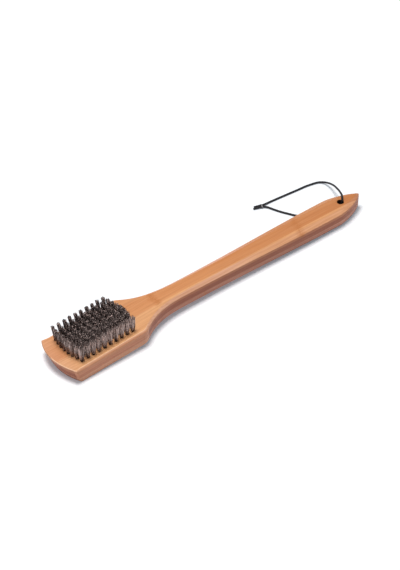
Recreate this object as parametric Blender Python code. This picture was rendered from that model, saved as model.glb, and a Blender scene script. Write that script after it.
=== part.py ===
"""A bamboo grill brush lying on its back with the bristles up, and its hanging cord beside it.

Metres, +Z up. +X runs from the head to the tail, and the board is symmetric about Y = 0.
The board is three bamboo plies, glued face to face. Each tuft of steel wire stands in a drilled hole
of the face ply and is anchored in a row of core wood, which lies in a pocket of the core ply.
The board is bent a little at its neck, and its tail rests on the cord that passes under it.
"""

import math

import bmesh
import bpy
from mathutils import Vector
from mathutils.geometry import delaunay_2d_cdt

# Board
LENGTH = 0.457
THICKNESS = 0.020
PLIES = 3
GAP = 0.0003
OVERRUN = 0.003
NECK_RISE = 0.0062
TAIL_LIFT = 0.0029
BEND_FROM_SHOULDER = 0.0437
BEND_share = 1.2

# Head
HEAD_WIDTH = 0.0650
HEAD_LENGTH = 0.1098
FRONT_BULGE = 0.0094
FRONT_UNDERCUT = 0.0083
FRONT_CORNER_RADIUS = 0.0015
SHOULDER_CORNER_RADIUS = 0.014
SHOULDER_LENGTH = 0.077
SHOULDER_HOLLOW_share = 3.1
FRONT_EASE = 0.0008
FRONT_EASE_DROP = 0.0007
HEAD_BEVEL = 0.0024
HEAD_BEVEL_DROP = 0.0022
HEAD_BEVEL_GROWTH_LENGTH = 0.012
BACK_EASE = 0.0006

# Handle
NECK_WIDTH = 0.0258
GRIP_WIDTH = 0.0329
GRIP_SWELL_share = 1.1
TAIL_ROUND_LENGTH = 0.0429
TAIL_TIP_RADIUS = 0.0032
TAIL_POINT_share = 1.4
GRIP_STRAIGHT_LENGTH = 0.0135
GRIP_BEVEL = 0.0069
GRIP_BEVEL_DROP = 0.0031
GRIP_BEVEL_GROWTH_LENGTH = 0.265
TIP_BEVEL = 0.0026
TIP_BEVEL_DROP = 0.0024
BEVEL_PROFILE_shares = ((0.0, 1.0), (0.13, 0.68), (0.68, 0.13), (1.0, 0.0))

# Hanging hole
HOLE_DIAMETER = 0.008
HOLE_EASE = 0.001
HOLE_FROM_TAIL = 0.0291

# Tufts
TUFT_COLUMNS = 10
TUFT_ROWS = 8
FIELD_FRONT_MARGIN = 0.0244
FIELD_BACK_MARGIN = 0.0154
FIELD_SIDE_MARGIN = 0.0100
FIELD_FRONT_BULGE = 0.0033
FIELD_BACK_BULGE = 0.0028
FIELD_SLANT = 0.0022
TUFT_HOLE_DIAMETER = 0.0040
BRISTLE_REACH = 0.022
RAGGED = 0.0006
LEAN_FORWARD = 0.0016
LEAN_FORWARD_TURN = 0.0010
LEAN_SIDEWAYS = 0.0048
LEAN_SIDEWAYS_shares = (0.0, 0.9, 1.0, 0.8, 0.55, 0.45, 0.4, 0.4)
STRANDS_PER_TUFT = 5
STRAND_RING_RADIUS = 0.00085
STRAND_RING_TOP_RADIUS = 0.0017
STRAND_RADIUS = 0.00038
STRAND_TOP_RADIUS = 0.0007
MOUTH_RISE = 0.0005
ROW_THICKNESS = 0.004
ROW_END_MARGIN = 0.0035

# Cord
CORD_DIAMETER = 0.0026
CORD_SAMPLES_PER_SPAN = 2
CORD_BEVEL_RESOLUTION = 2
UPPER_ROUTE = (
    (0.2018, 0.0000, 0.0133),
    (0.2018, 0.0000, 0.0170),
    (0.2018, 0.0000, 0.0206),
    (0.2021, 0.0001, 0.0240),
    (0.2032, 0.0012, 0.0266),
    (0.2050, 0.0040, 0.0279),
    (0.2081, 0.0108, 0.0270),
    (0.2128, 0.0205, 0.0230),
    (0.2184, 0.0321, 0.0170),
    (0.2232, 0.0441, 0.0100),
    (0.2249, 0.0532, 0.0050),
    (0.2239, 0.0590, 0.0024),
    (0.2194, 0.0633, 0.0015),
    (0.2110, 0.0657, 0.00135),
    (0.2018, 0.0673, 0.00135),
    (0.1923, 0.0680, 0.00135),
    (0.1830, 0.0689, 0.00135),
    (0.1736, 0.0698, 0.00135),
    (0.1605, 0.0710, 0.00135),
    (0.1506, 0.0718, 0.0014),
    (0.1440, 0.0720, 0.0017),
)
UPPER_END = (0.1272, 0.0764, 0.0014)
LOWER_ROUTE = (
    (0.2018, 0.0000, 0.0130),
    (0.2018, 0.0000, 0.0098),
    (0.2018, 0.0001, 0.0068),
    (0.2018, 0.0007, 0.0045),
    (0.2018, 0.0022, 0.0027),
    (0.2018, 0.0043, 0.0016),
    (0.2018, 0.0072, 0.0014),
    (0.2016, 0.0112, 0.00135),
    (0.2002, 0.0168, 0.00135),
    (0.1966, 0.0222, 0.00135),
    (0.1910, 0.0258, 0.00135),
    (0.1836, 0.0273, 0.00135),
    (0.1750, 0.0274, 0.00135),
    (0.1665, 0.0278, 0.00135),
    (0.1604, 0.0299, 0.00135),
    (0.1564, 0.0343, 0.00135),
    (0.1524, 0.0410, 0.00135),
    (0.1478, 0.0490, 0.00135),
    (0.1445, 0.0560, 0.00135),
    (0.1417, 0.0625, 0.0015),
    (0.1396, 0.0665, 0.00175),
)
LOWER_END = (0.1246, 0.0743, 0.0014)

# Crimp
CRIMP_CENTRE = (0.1352, 0.0716, 0.0021)
CRIMP_ANGLE = math.radians(157)
CRIMP_LENGTH = 0.0015
CRIMP_WALL = 0.0004
CRIMP_RUN = 0.0018
CRIMP_STEPS = 6

# Steps of the round stretches
FRONT_ARC_STEPS = 6
CORNER_STEPS = 3
SHOULDER_STEPS = 14
GRIP_STEPS = 14
TAIL_STEPS = 10
HOLE_SIDES = 24
TUFT_HOLE_SIDES = 8
SMOOTH_ANGLE = math.radians(32)

# Places that follow from the sizes
FRONT_X = -LENGTH / 2
TAIL_X = LENGTH / 2
REST_X = FRONT_X + FRONT_UNDERCUT + FRONT_BULGE + FRONT_CORNER_RADIUS
SHOULDER_X = FRONT_X + HEAD_LENGTH
BEND_X = SHOULDER_X + BEND_FROM_SHOULDER
NECK_X = SHOULDER_X + SHOULDER_LENGTH
TAIL_ROUND_X = TAIL_X - TAIL_ROUND_LENGTH
GRIP_FULL_X = TAIL_ROUND_X - GRIP_STRAIGHT_LENGTH
HOLE_X = TAIL_X - HOLE_FROM_TAIL
FIELD_LENGTH = HEAD_LENGTH - FIELD_FRONT_MARGIN - FIELD_BACK_MARGIN
FIELD_WIDTH = HEAD_WIDTH - 2 * FIELD_SIDE_MARGIN
FIELD_X = FRONT_X + FIELD_FRONT_MARGIN + FIELD_LENGTH / 2
FIELD_HALF_LENGTH = FIELD_LENGTH / 2 + FIELD_FRONT_BULGE
PLY_THICKNESS = (THICKNESS - (PLIES - 1) * GAP) / PLIES
CORE_BOTTOM = PLY_THICKNESS + GAP
CORE_TOP = CORE_BOTTOM + PLY_THICKNESS
FACE_BOTTOM = CORE_TOP + GAP
ROW_PITCH = FIELD_WIDTH / (TUFT_ROWS - 1)
CORD_RADIUS = CORD_DIAMETER / 2


def clear_scene():
    for item in list(bpy.data.objects):
        bpy.data.objects.remove(item, do_unlink=True)


def make_material(name, colour, roughness, metallic):
    material = bpy.data.materials.new(name)
    material.use_nodes = True
    shader = material.node_tree.nodes["Principled BSDF"]
    shader.inputs["Base Color"].default_value = (*colour, 1.0)
    shader.inputs["Roughness"].default_value = roughness
    shader.inputs["Metallic"].default_value = metallic
    return material


def share_along(x, start, length):
    return min(max((x - start) / length, 0), 1)


def handle_slope(x):
    """The straight slope of the handle's back, down from the neck to the tail, which the cord lifts."""
    return TAIL_LIFT + (NECK_RISE - TAIL_LIFT) * (TAIL_X - x) / (TAIL_X - BEND_X)


def spine_height(x):
    """How high the board's back lies at x. It rests on the front end of the head, up to REST_X."""
    if x >= SHOULDER_X:
        bend = share_along(BEND_X - x, 0, BEND_X - REST_X) ** BEND_share
        return handle_slope(x) - handle_slope(REST_X) * bend
    return spine_height(SHOULDER_X) * share_along(x, REST_X, SHOULDER_X - REST_X)


def finish_object(name, bm, material=None):
    """Lays the mesh on the board's bowed spine and makes an object of it."""
    for vert in bm.verts:
        vert.co.z += spine_height(vert.co.x)
    return place_object(name, bm, material)


def place_object(name, bm, material=None):
    bmesh.ops.recalc_face_normals(bm, faces=bm.faces)
    mesh = bpy.data.meshes.new(name)
    bm.to_mesh(mesh)
    bm.free()
    if material:
        mesh.materials.append(material)
    mesh.shade_smooth()
    mesh.set_sharp_from_angle(angle=SMOOTH_ANGLE)
    made = bpy.data.objects.new(name, mesh)
    bpy.context.scene.collection.objects.link(made)
    return made


def make_cutter(name, bm):
    cutter = finish_object(name, bm)
    cutter.hide_render = True
    cutter.display_type = "WIRE"
    return cutter


def cut(target, cutter):
    modifier = target.modifiers.new(cutter.name, "BOOLEAN")
    modifier.operation = "DIFFERENCE"
    modifier.solver = "EXACT"
    modifier.object = cutter


def rounded_corner(before, corner, after, radius, steps):
    """The points of an arc that rounds the corner between two straight edges."""
    to_before = (before - corner).normalized()
    to_after = (after - corner).normalized()
    half_angle = to_before.angle(to_after) / 2
    centre = corner + (to_before + to_after).normalized() * (radius / math.sin(half_angle))
    reach = radius / math.tan(half_angle)
    start = corner + to_before * reach - centre
    end = corner + to_after * reach - centre
    sweep = start.angle_signed(end)
    points = []
    for step in range(steps + 1):
        angle = -sweep * step / steps
        turned = Vector(
            (
                start.x * math.cos(angle) - start.y * math.sin(angle),
                start.x * math.sin(angle) + start.y * math.cos(angle),
            )
        )
        points.append(centre + turned)
    return points


def front_arc(front_x):
    """Points along the bulged front, from its middle to the head's side."""
    half = HEAD_WIDTH / 2
    radius = (half * half + FRONT_BULGE * FRONT_BULGE) / (2 * FRONT_BULGE)
    top_angle = math.asin(half / radius)
    points = []
    for step in range(FRONT_ARC_STEPS + 1):
        angle = top_angle * step / FRONT_ARC_STEPS
        points.append(Vector((front_x + radius * (1 - math.cos(angle)), radius * math.sin(angle))))
    return points


def shoulder_arc():
    """Points along the hollow shoulder, from the head's side to the neck."""
    drop = (HEAD_WIDTH - NECK_WIDTH) / 2
    points = []
    for step in range(SHOULDER_STEPS + 1):
        left = 1 - step / SHOULDER_STEPS
        y = NECK_WIDTH / 2 + drop * left**SHOULDER_HOLLOW_share
        points.append(Vector((NECK_X - SHOULDER_LENGTH * left, y)))
    return points


def grip_curve():
    """Points along the handle's side, which widens smoothly from the neck to the grip."""
    points = []
    for step in range(1, GRIP_STEPS + 1):
        along = step / GRIP_STEPS
        late = along**GRIP_SWELL_share
        eased = late * late * (3 - 2 * late)
        x = NECK_X + (GRIP_FULL_X - NECK_X) * along
        points.append(Vector((x, (NECK_WIDTH + (GRIP_WIDTH - NECK_WIDTH) * eased) / 2)))
    return points


def tip_half_width(x):
    """Half the width of the rounded tip of the tail at x, and zero before it."""
    past_centre = x - (TAIL_X - TAIL_TIP_RADIUS)
    if past_centre < 0:
        return 0
    return math.sqrt(max(TAIL_TIP_RADIUS**2 - past_centre**2, 0))


def tail_round():
    """Points round the tail, which comes to a rounded point."""
    points = []
    for step in range(TAIL_STEPS + 1):
        angle = math.pi / 2 * step / TAIL_STEPS
        x = TAIL_ROUND_X + TAIL_ROUND_LENGTH * math.sin(angle) ** TAIL_POINT_share
        y = GRIP_WIDTH / 2 * max(math.cos(angle), 0) ** TAIL_POINT_share
        points.append(Vector((x, max(y, tip_half_width(x)))))
    points[-1].y = 0
    return points


def board_outline(z):
    """The closed outline at height z, as pairs: point i and point -i lie at the same x."""
    front = front_arc(FRONT_X + FRONT_UNDERCUT * (1 - z / THICKNESS))
    shoulder = shoulder_arc()
    front_corner = rounded_corner(
        front[-2], front[-1], shoulder[0], FRONT_CORNER_RADIUS, CORNER_STEPS
    )
    shoulder_corner = rounded_corner(
        front[-1], shoulder[0], shoulder[1], SHOULDER_CORNER_RADIUS, CORNER_STEPS
    )
    head_side = [Vector((REST_X, HEAD_WIDTH / 2))]
    side = front[:-1] + front_corner + head_side + shoulder_corner + shoulder[1:]
    side += grip_curve() + tail_round()
    other = [Vector((point.x, -point.y)) for point in reversed(side[1:-1])]
    return side + other


def bevel_width(x):
    """How far the flat top lies inside the outline at x: an eased front, a bevel that widens to the grip."""
    in_head = share_along(x, FRONT_X + FRONT_BULGE, HEAD_BEVEL_GROWTH_LENGTH)
    in_grip = share_along(x, SHOULDER_X, GRIP_BEVEL_GROWTH_LENGTH)
    in_tail = share_along(x, TAIL_ROUND_X, TAIL_ROUND_LENGTH)
    width = FRONT_EASE + (HEAD_BEVEL - FRONT_EASE) * in_head
    width += (GRIP_BEVEL - HEAD_BEVEL) * math.sin(in_grip * math.pi / 2)
    return width - (GRIP_BEVEL - TIP_BEVEL) * in_tail * in_tail


def bevel_drop(x):
    """How far the bevel's outer edge lies below the flat top at x."""
    in_head = share_along(x, FRONT_X + FRONT_BULGE, HEAD_BEVEL_GROWTH_LENGTH)
    in_handle = share_along(x, SHOULDER_X, SHOULDER_LENGTH)
    in_tail = share_along(x, TAIL_ROUND_X, TAIL_ROUND_LENGTH)
    drop = FRONT_EASE_DROP + (HEAD_BEVEL_DROP - FRONT_EASE_DROP) * in_head
    drop += (GRIP_BEVEL_DROP - HEAD_BEVEL_DROP) * in_handle
    return drop - (GRIP_BEVEL_DROP - TIP_BEVEL_DROP) * in_tail * in_tail


def inset(outline, width_at):
    """The outline again, each point moved inwards by the width that belongs to its x."""
    moved = []
    for index, point in enumerate(outline):
        ahead = outline[(index + 1) % len(outline)] - point
        behind = point - outline[index - 1]
        along = (ahead.normalized() + behind.normalized()).normalized()
        moved.append(point + Vector((along.y, -along.x)) * width_at(point.x))
    return moved


def add_ring(bm, outline, height_at):
    return [bm.verts.new((point.x, point.y, height_at(point.x))) for point in outline]


def close_ladder(bm, ring):
    """Closes a ring with a face between each two pairs of its points, so that it can follow the bow."""
    count = len(ring)
    for index in range(count // 2):
        corners = [ring[index], ring[index + 1], ring[-index - 1], ring[-index]]
        unique = list(dict.fromkeys(corners))
        bm.faces.new(unique)


def board_layer(name, rings, material):
    """A ply: rings of outline and height, joined from the lowest to the highest and closed at both ends."""
    bm = bmesh.new()
    made = [add_ring(bm, outline, height_at) for outline, height_at in rings]
    for low, high in zip(made[:-1], made[1:]):
        for index in range(len(low)):
            after = (index + 1) % len(low)
            bm.faces.new((low[index], low[after], high[after], high[index]))
    close_ladder(bm, made[0])
    close_ladder(bm, made[-1])
    return finish_object(name, bm, material)


def level(height):
    return lambda x: height


def make_back_ply(material):
    bottom = inset(board_outline(0), lambda x: BACK_EASE)
    rings = [
        (bottom, level(0)),
        (board_outline(BACK_EASE), level(BACK_EASE)),
        (board_outline(PLY_THICKNESS), level(PLY_THICKNESS)),
    ]
    return board_layer("back_ply", rings, material)


def make_core_ply(material):
    rings = [
        (board_outline(CORE_BOTTOM), level(CORE_BOTTOM)),
        (board_outline(CORE_TOP), level(CORE_TOP)),
    ]
    return board_layer("core_ply", rings, material)


def make_face_ply(material):
    rim = board_outline(THICKNESS)
    rings = [(board_outline(FACE_BOTTOM), level(FACE_BOTTOM))]
    for inset_share, drop_share in BEVEL_PROFILE_shares:
        outline = inset(rim, lambda x: bevel_width(x) * inset_share)
        rings.append((outline, lambda x, share=drop_share: THICKNESS - bevel_drop(x) * share))
    return board_layer("face_ply", rings, material)


def add_prism(bm, levels, sides):
    """A closed turned solid: levels are (x, y, z, radius) from the lowest to the highest."""
    rings = []
    for x, y, z, radius in levels:
        ring = []
        for side in range(sides):
            angle = 2 * math.pi * (side + 1 / 2) / sides
            place = (x + radius * math.cos(angle), y + radius * math.sin(angle), z)
            ring.append(bm.verts.new(place))
        rings.append(ring)
    for low, high in zip(rings[:-1], rings[1:]):
        for side in range(sides):
            after = (side + 1) % sides
            bm.faces.new((low[side], low[after], high[after], high[side]))
    bm.faces.new(list(reversed(rings[0])))
    bm.faces.new(rings[-1])


def make_hanging_hole():
    bm = bmesh.new()
    radius = HOLE_DIAMETER / 2
    wide = radius + HOLE_EASE
    wider = wide + OVERRUN
    levels = [
        (HOLE_X, 0, -OVERRUN, wider),
        (HOLE_X, 0, 0, wide),
        (HOLE_X, 0, HOLE_EASE, radius),
        (HOLE_X, 0, THICKNESS - HOLE_EASE, radius),
        (HOLE_X, 0, THICKNESS, wide),
        (HOLE_X, 0, THICKNESS + OVERRUN, wider),
    ]
    add_prism(bm, levels, HOLE_SIDES)
    return make_cutter("cutter_hanging_hole", bm)


def row_y(row):
    return ROW_PITCH * (row - (TUFT_ROWS - 1) / 2)


def tuft_places(row):
    """The feet of a row's tufts. The field bulges at both ends, and slants a little from row to row."""
    y = row_y(row)
    across = 2 * y / FIELD_WIDTH
    bulge = 1 - across * across
    first = FIELD_X - FIELD_LENGTH / 2 - FIELD_SLANT * across - FIELD_FRONT_BULGE * bulge
    last = FIELD_X + FIELD_LENGTH / 2 - FIELD_SLANT * across + FIELD_BACK_BULGE * bulge
    step = (last - first) / (TUFT_COLUMNS - 1)
    return [Vector((first + step * column, y)) for column in range(TUFT_COLUMNS)]


def tuft_lean(row, column):
    """How far the top of a tuft leans over: towards the head, and sideways at the back of the field."""
    across = 2 * row / (TUFT_ROWS - 1) - 1
    forward = LEAN_FORWARD + LEAN_FORWARD_TURN * across
    sideways = LEAN_SIDEWAYS * LEAN_SIDEWAYS_shares[row] * column / (TUFT_COLUMNS - 1)
    return Vector((-forward, sideways, 0))


def make_tuft_holes():
    bm = bmesh.new()
    radius = TUFT_HOLE_DIAMETER / 2
    for row in range(TUFT_ROWS):
        for place in tuft_places(row):
            levels = [
                (place.x, place.y, CORE_TOP, radius),
                (place.x, place.y, THICKNESS + OVERRUN, radius),
            ]
            add_prism(bm, levels, TUFT_HOLE_SIDES)
    return make_cutter("cutter_tuft_holes", bm)


def add_box(bm, low, high):
    corners = []
    for z in (low.z, high.z):
        for x, y in ((low.x, low.y), (high.x, low.y), (high.x, high.y), (low.x, high.y)):
            corners.append(bm.verts.new((x, y, z)))
    bottom, top = corners[:4], corners[4:]
    bm.faces.new(list(reversed(bottom)))
    bm.faces.new(top)
    for index in range(4):
        after = (index + 1) % 4
        bm.faces.new((bottom[index], bottom[after], top[after], top[index]))


def make_pocket():
    """The pocket of the core ply, which all the rows of anchored tufts share."""
    bm = bmesh.new()
    half_x = FIELD_HALF_LENGTH + ROW_END_MARGIN + GAP
    half_y = ROW_PITCH * TUFT_ROWS / 2 + GAP
    floor = CORE_TOP - ROW_THICKNESS - GAP
    low = Vector((FIELD_X - half_x, -half_y, floor))
    high = Vector((FIELD_X + half_x, half_y, CORE_TOP + OVERRUN))
    add_box(bm, low, high)
    return make_cutter("cutter_pocket", bm)


def add_strand(bm, rings, turn):
    """A three-sided strand through (centre, radius) rings, open at its foot. Returns the foot's corners."""
    sides = 3
    made = []
    for centre, radius in rings:
        ring = []
        for side in range(sides):
            angle = turn + 2 * math.pi * side / sides
            offset = Vector((math.cos(angle), math.sin(angle), 0)) * radius
            ring.append(bm.verts.new(centre + offset))
        made.append(ring)
    for low, high in zip(made[:-1], made[1:]):
        for side in range(sides):
            after = (side + 1) % sides
            bm.faces.new((low[side], low[after], high[after], high[side]))
    bm.faces.new(made[-1])
    return made[0]


def add_tuft(bm, place, lean, number):
    """One tuft of strands that run straight up through their hole and spread above it."""
    feet = []
    for strand in range(STRANDS_PER_TUFT):
        turn = 2 * math.pi * (strand / STRANDS_PER_TUFT) + number
        outward = Vector((math.cos(turn), math.sin(turn), 0))
        reach = BRISTLE_REACH + RAGGED * math.sin(number + 2 * strand)
        foot = Vector((place.x, place.y, CORE_TOP)) + outward * STRAND_RING_RADIUS
        mouth = Vector((foot.x, foot.y, THICKNESS + MOUTH_RISE))
        tip = Vector((place.x, place.y, THICKNESS + reach)) + outward * STRAND_RING_TOP_RADIUS
        rings = [
            (foot, STRAND_RADIUS),
            (mouth, STRAND_RADIUS),
            (tip + lean, STRAND_TOP_RADIUS),
        ]
        feet.append(add_strand(bm, rings, turn))
    return feet


def fill_round_feet(bm, rim, feet):
    """Fills the top of a row's wood, from its rim to the feet of its strands."""
    loops = [rim, *feet]
    corners = [corner for loop in loops for corner in loop]
    owner = [index for index, loop in enumerate(loops) for corner in loop]
    edges = []
    start = 0
    for loop in loops:
        count = len(loop)
        edges += [(start + index, start + (index + 1) % count) for index in range(count)]
        start += count
    flat = [corner.co.to_2d() for corner in corners]
    result = delaunay_2d_cdt(flat, edges, [], 0, 0)
    triangles, sources = result[2], result[3]
    for triangle in triangles:
        picked = [sources[index][0] for index in triangle]
        owners = {owner[index] for index in picked}
        if owners == {0} or len(owners) > 1:
            bm.faces.new([corners[index] for index in picked])


def make_bristle_row(row, material):
    """A row of tufts, fused to the slice of core wood that their anchors sit in."""
    bm = bmesh.new()
    places = tuft_places(row)
    low_x = FIELD_X - FIELD_HALF_LENGTH - ROW_END_MARGIN
    high_x = FIELD_X + FIELD_HALF_LENGTH + ROW_END_MARGIN
    half_y = (ROW_PITCH - GAP) / 2
    y = row_y(row)
    rims = []
    for z in (CORE_TOP - ROW_THICKNESS, CORE_TOP):
        around = ((low_x, y - half_y), (high_x, y - half_y), (high_x, y + half_y), (low_x, y + half_y))
        rims.append([bm.verts.new((px, py, z)) for px, py in around])
    bottom, top = rims
    bm.faces.new(list(reversed(bottom)))
    for index in range(4):
        after = (index + 1) % 4
        bm.faces.new((bottom[index], bottom[after], top[after], top[index]))
    feet = []
    for column, place in enumerate(places):
        feet += add_tuft(bm, place, tuft_lean(row, column), row * TUFT_COLUMNS + column)
    fill_round_feet(bm, top, feet)
    return finish_object(f"bristle_row_{row + 1}", bm, material)


def smooth_points(route):
    """Points on a smooth curve that passes through the route's points."""
    points = [Vector(place) for place in route]
    padded = [points[0] * 2 - points[1]] + points + [points[-1] * 2 - points[-2]]
    made = []
    for index in range(1, len(padded) - 2):
        before, start, end, after = padded[index - 1 : index + 3]
        for sample in range(CORD_SAMPLES_PER_SPAN):
            t = sample / CORD_SAMPLES_PER_SPAN
            slope = (end - before) * t
            turn = (before * 2 - start * 5 + end * 4 - after) * t**2
            twist = (start * 3 - before - end * 3 + after) * t**3
            made.append(start + (slope + turn + twist) / 2)
    made.append(points[-1])
    return made


def crimp_run(side):
    """The straight run of one end of the cord through the crimp, and a bit past it."""
    along = Vector((math.cos(CRIMP_ANGLE), math.sin(CRIMP_ANGLE), 0))
    across = Vector((along.y, -along.x, 0)) * side
    middle = Vector(CRIMP_CENTRE) + across * (CORD_DIAMETER + GAP) / 2
    return [middle - along * CRIMP_RUN, middle, middle + along * CRIMP_RUN]


def make_strand_of_cord(name, route, side, end, material):
    points = smooth_points([*route, *crimp_run(side), end])
    curve = bpy.data.curves.new(name, "CURVE")
    curve.dimensions = "3D"
    curve.bevel_depth = CORD_RADIUS
    curve.bevel_resolution = CORD_BEVEL_RESOLUTION
    curve.use_fill_caps = True
    spline = curve.splines.new("POLY")
    spline.points.add(len(points) - 1)
    for target, point in zip(spline.points, points):
        target.co = (*point, 1.0)
    curve.materials.append(material)
    made = bpy.data.objects.new(name, curve)
    bpy.context.scene.collection.objects.link(made)
    return made


def stadium(half_gap, radius):
    """A flat oval: two half circles round two centres that lie half_gap either side of the middle."""
    points = []
    for side, start in ((1, -math.pi / 2), (-1, math.pi / 2)):
        for step in range(CRIMP_STEPS + 1):
            angle = start + math.pi * step / CRIMP_STEPS
            points.append((side * half_gap + radius * math.cos(angle), radius * math.sin(angle)))
    return points


def make_crimp(material):
    """The metal sleeve that holds the two ends of the cord side by side."""
    bm = bmesh.new()
    half_gap = (CORD_DIAMETER + GAP) / 2
    bore = stadium(half_gap, CORD_RADIUS + GAP)
    outside = stadium(half_gap, CORD_RADIUS + GAP + CRIMP_WALL)
    rings = []
    for outline in (outside, bore):
        for x in (-CRIMP_LENGTH / 2, CRIMP_LENGTH / 2):
            rings.append([bm.verts.new((x, y, z)) for y, z in outline])
    outer_low, outer_high, inner_low, inner_high = rings
    walls = (
        (outer_low, outer_high),
        (outer_high, inner_high),
        (inner_high, inner_low),
        (inner_low, outer_low),
    )
    for first, second in walls:
        for index in range(len(first)):
            after = (index + 1) % len(first)
            bm.faces.new((first[index], first[after], second[after], second[index]))
    crimp = place_object("crimp", bm, material)
    crimp.location = CRIMP_CENTRE
    crimp.rotation_euler = (0, 0, CRIMP_ANGLE)
    return crimp


def build():
    clear_scene()
    face_bamboo = make_material("face_bamboo", (0.66, 0.31, 0.12), 0.42, 0.0)
    core_bamboo = make_material("core_bamboo", (0.30, 0.13, 0.06), 0.5, 0.0)
    back_bamboo = make_material("back_bamboo", (0.45, 0.20, 0.11), 0.45, 0.0)
    steel_wire = make_material("steel_wire", (0.17, 0.15, 0.14), 0.4, 0.9)
    cord_black = make_material("cord_black", (0.012, 0.011, 0.012), 0.6, 0.0)
    crimp_steel = make_material("crimp_steel", (0.7, 0.7, 0.7), 0.3, 1.0)

    face = make_face_ply(face_bamboo)
    core = make_core_ply(core_bamboo)
    back = make_back_ply(back_bamboo)
    hole = make_hanging_hole()
    for ply in (face, core, back):
        cut(ply, hole)
    cut(face, make_tuft_holes())
    cut(core, make_pocket())
    for row in range(TUFT_ROWS):
        make_bristle_row(row, steel_wire)
    make_strand_of_cord("cord_upper_strand", UPPER_ROUTE, 1, UPPER_END, cord_black)
    make_strand_of_cord("cord_lower_strand", LOWER_ROUTE, -1, LOWER_END, cord_black)
    make_crimp(crimp_steel)


build()
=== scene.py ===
import math
import random

import bmesh
import bpy
from mathutils import Matrix, Vector


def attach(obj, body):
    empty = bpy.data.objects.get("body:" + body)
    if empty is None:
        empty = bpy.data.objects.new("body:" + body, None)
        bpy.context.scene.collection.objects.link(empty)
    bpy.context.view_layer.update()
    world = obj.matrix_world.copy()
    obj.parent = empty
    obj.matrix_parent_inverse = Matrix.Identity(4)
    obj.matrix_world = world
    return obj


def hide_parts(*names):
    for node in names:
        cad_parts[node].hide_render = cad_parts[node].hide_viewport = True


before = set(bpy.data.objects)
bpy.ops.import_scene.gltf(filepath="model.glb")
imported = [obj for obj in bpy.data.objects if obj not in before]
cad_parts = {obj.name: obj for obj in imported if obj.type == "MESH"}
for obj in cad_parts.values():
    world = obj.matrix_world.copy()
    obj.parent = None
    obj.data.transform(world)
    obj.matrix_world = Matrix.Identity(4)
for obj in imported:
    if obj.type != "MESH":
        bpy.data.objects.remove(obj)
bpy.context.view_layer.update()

# The camera looks down along the brush from beyond its near side, with the head below on the left
# and the tail up on the right, from some two metres away.
CAMERA_TURN = math.radians(38.37)
CAMERA_TILT = math.radians(43.18)
CAMERA_DISTANCE = 2.2
CAMERA_LENS = 118.55
CAMERA_SENSOR = 36
CAMERA_REACH = 20
AIM_RIGHT = -0.01377
AIM_UP = 0.00069

to_right = Vector((math.cos(CAMERA_TURN), -math.sin(CAMERA_TURN), 0))
to_back = Vector((
    -math.sin(CAMERA_TURN) * math.cos(CAMERA_TILT),
    -math.cos(CAMERA_TURN) * math.cos(CAMERA_TILT),
    math.sin(CAMERA_TILT),
))
to_up = to_back.cross(to_right)
camera_data = bpy.data.cameras.new("camera")
camera_data.sensor_fit = "VERTICAL"
camera_data.sensor_height = CAMERA_SENSOR
camera_data.lens = CAMERA_LENS
camera_data.clip_end = CAMERA_REACH
camera = bpy.data.objects.new("camera", camera_data)
camera.matrix_world = Matrix.Translation(
    to_right * AIM_RIGHT + to_up * AIM_UP + to_back * CAMERA_DISTANCE
) @ Matrix((to_right, to_up, to_back)).transposed().to_4x4()
bpy.context.scene.collection.objects.link(camera)
bpy.context.scene.camera = camera
bpy.context.scene.view_settings.view_transform = "Standard"

# The table is a wide sheet of white paper that keeps the shadow of the brush. It lies in an even
# white room, under one soft round lamp that hangs high over the far side of the head.
TABLE_SIZE = 8.0
PAPER_COLOUR = (0.93, 0.93, 0.93)
TABLE_GLOW = 0.12
TABLE_GLOW_TINT = (0.80, 1.0, 1.18)
FAR_GLOW = 0.55
FAR_GLOW_TINT = (1.0, 1.0, 1.0)
FAR_GLOW_START = 0.5
FAR_GLOW_END = 2.4
ROOM_GLOW = 0.31
ROOM_TINT = (0.95, 0.98, 1.04)
BACKDROP_COLOUR = (1.0, 1.0, 1.0)
LAMP_PLACE = (-0.26, 0.26, 2.38)
LAMP_SIZE = 0.90
LAMP_POWER = 47.5


def nodes_of(owner):
    """A clean node tree for a material or the world, and a short way to add and join its nodes."""
    owner.use_nodes = True
    tree = owner.node_tree
    tree.nodes.clear()

    def add(kind, *inputs, **settings):
        node = tree.nodes.new("ShaderNode" + kind)
        for setting, value in settings.items():
            setattr(node, setting, value)
        for name, value in inputs:
            socket = node.inputs[name]
            if isinstance(value, bpy.types.NodeSocket):
                tree.links.new(value, socket)
            elif socket.type == "RGBA":
                socket.default_value = (*value, 1)
            else:
                socket.default_value = value
        return node

    return add


def seen_directly(add):
    """1 for a ray that looks at a surface, also in a mirror or through glass, and 0 for other light."""
    rays = add("LightPath")
    seen = rays.outputs["Is Camera Ray"]
    for ray in ("Is Glossy Ray", "Is Transmission Ray"):
        seen = add("Math", (0, seen), (1, rays.outputs[ray]), operation="MAXIMUM").outputs[0]
    return seen


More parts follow.
